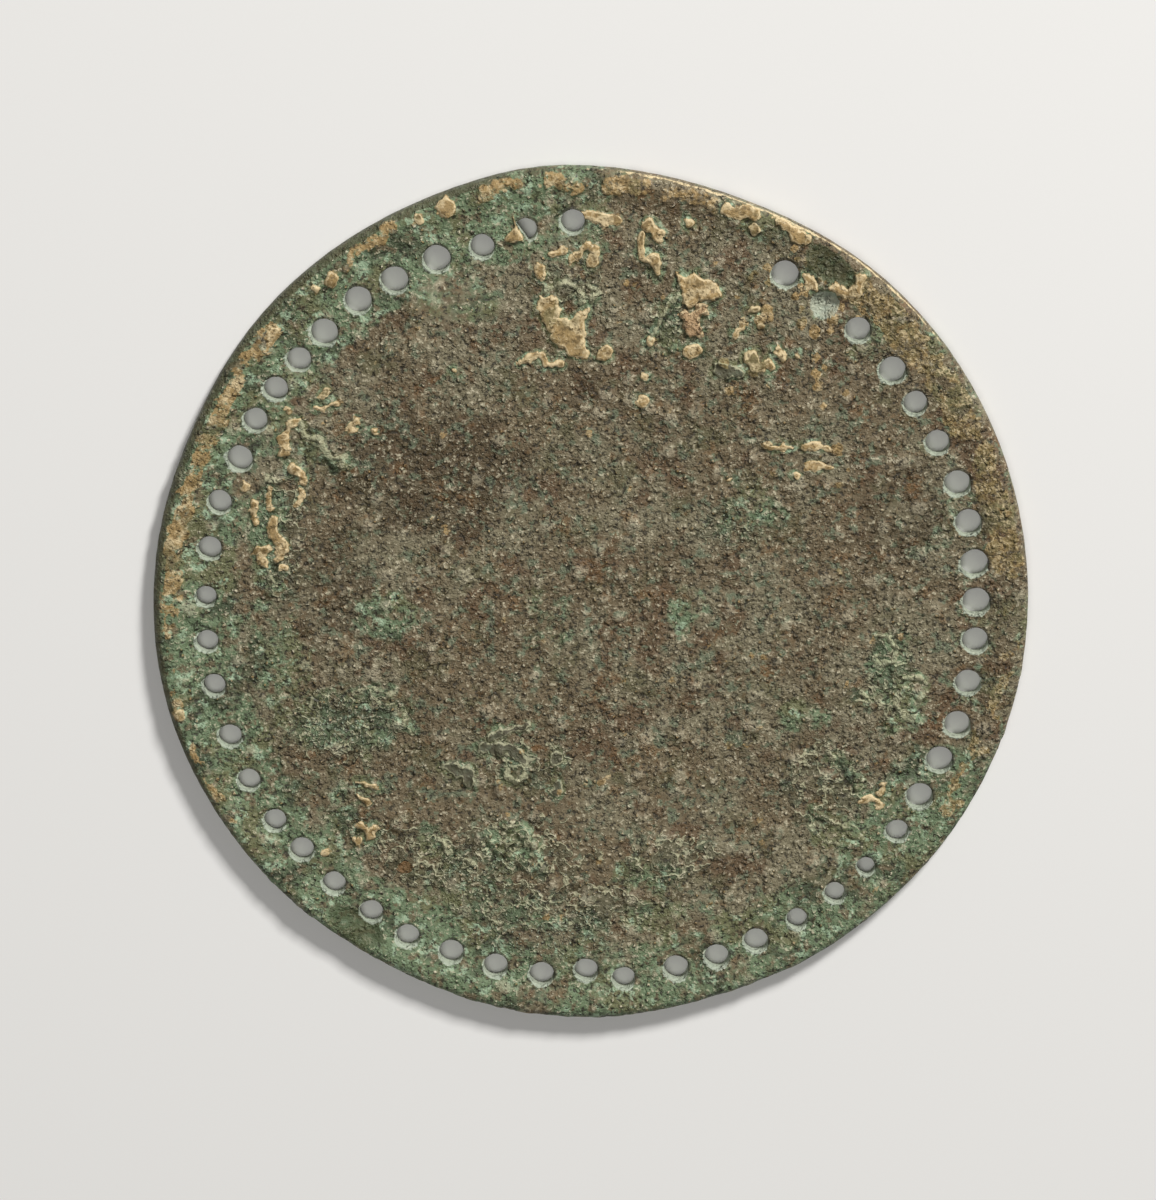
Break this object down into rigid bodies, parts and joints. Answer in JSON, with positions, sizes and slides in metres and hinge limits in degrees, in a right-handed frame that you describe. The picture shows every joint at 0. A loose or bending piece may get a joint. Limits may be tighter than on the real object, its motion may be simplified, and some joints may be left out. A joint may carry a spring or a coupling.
{
  "type": "bronze mirror",
  "caption": "Flat round hand-mirror disc of corroded bronze with a low rounded rim and a border of punched holes, open where a handle joined.",
  "frame": {"origin": "centre of the disc on its underside, where it rests", "axes": "+Z out of the face, +Y towards the handle's gap in the ring of holes"},
  "size_m": [0.1102, 0.1103, 0.0028],
  "materials": {
    "corroded_bronze": "brown and green patina with tan crusts, matt and grainy"
  },
  "bodies": {
    "root": {"mirror_disc": "corroded_bronze"}
  },
  "joints": []
}
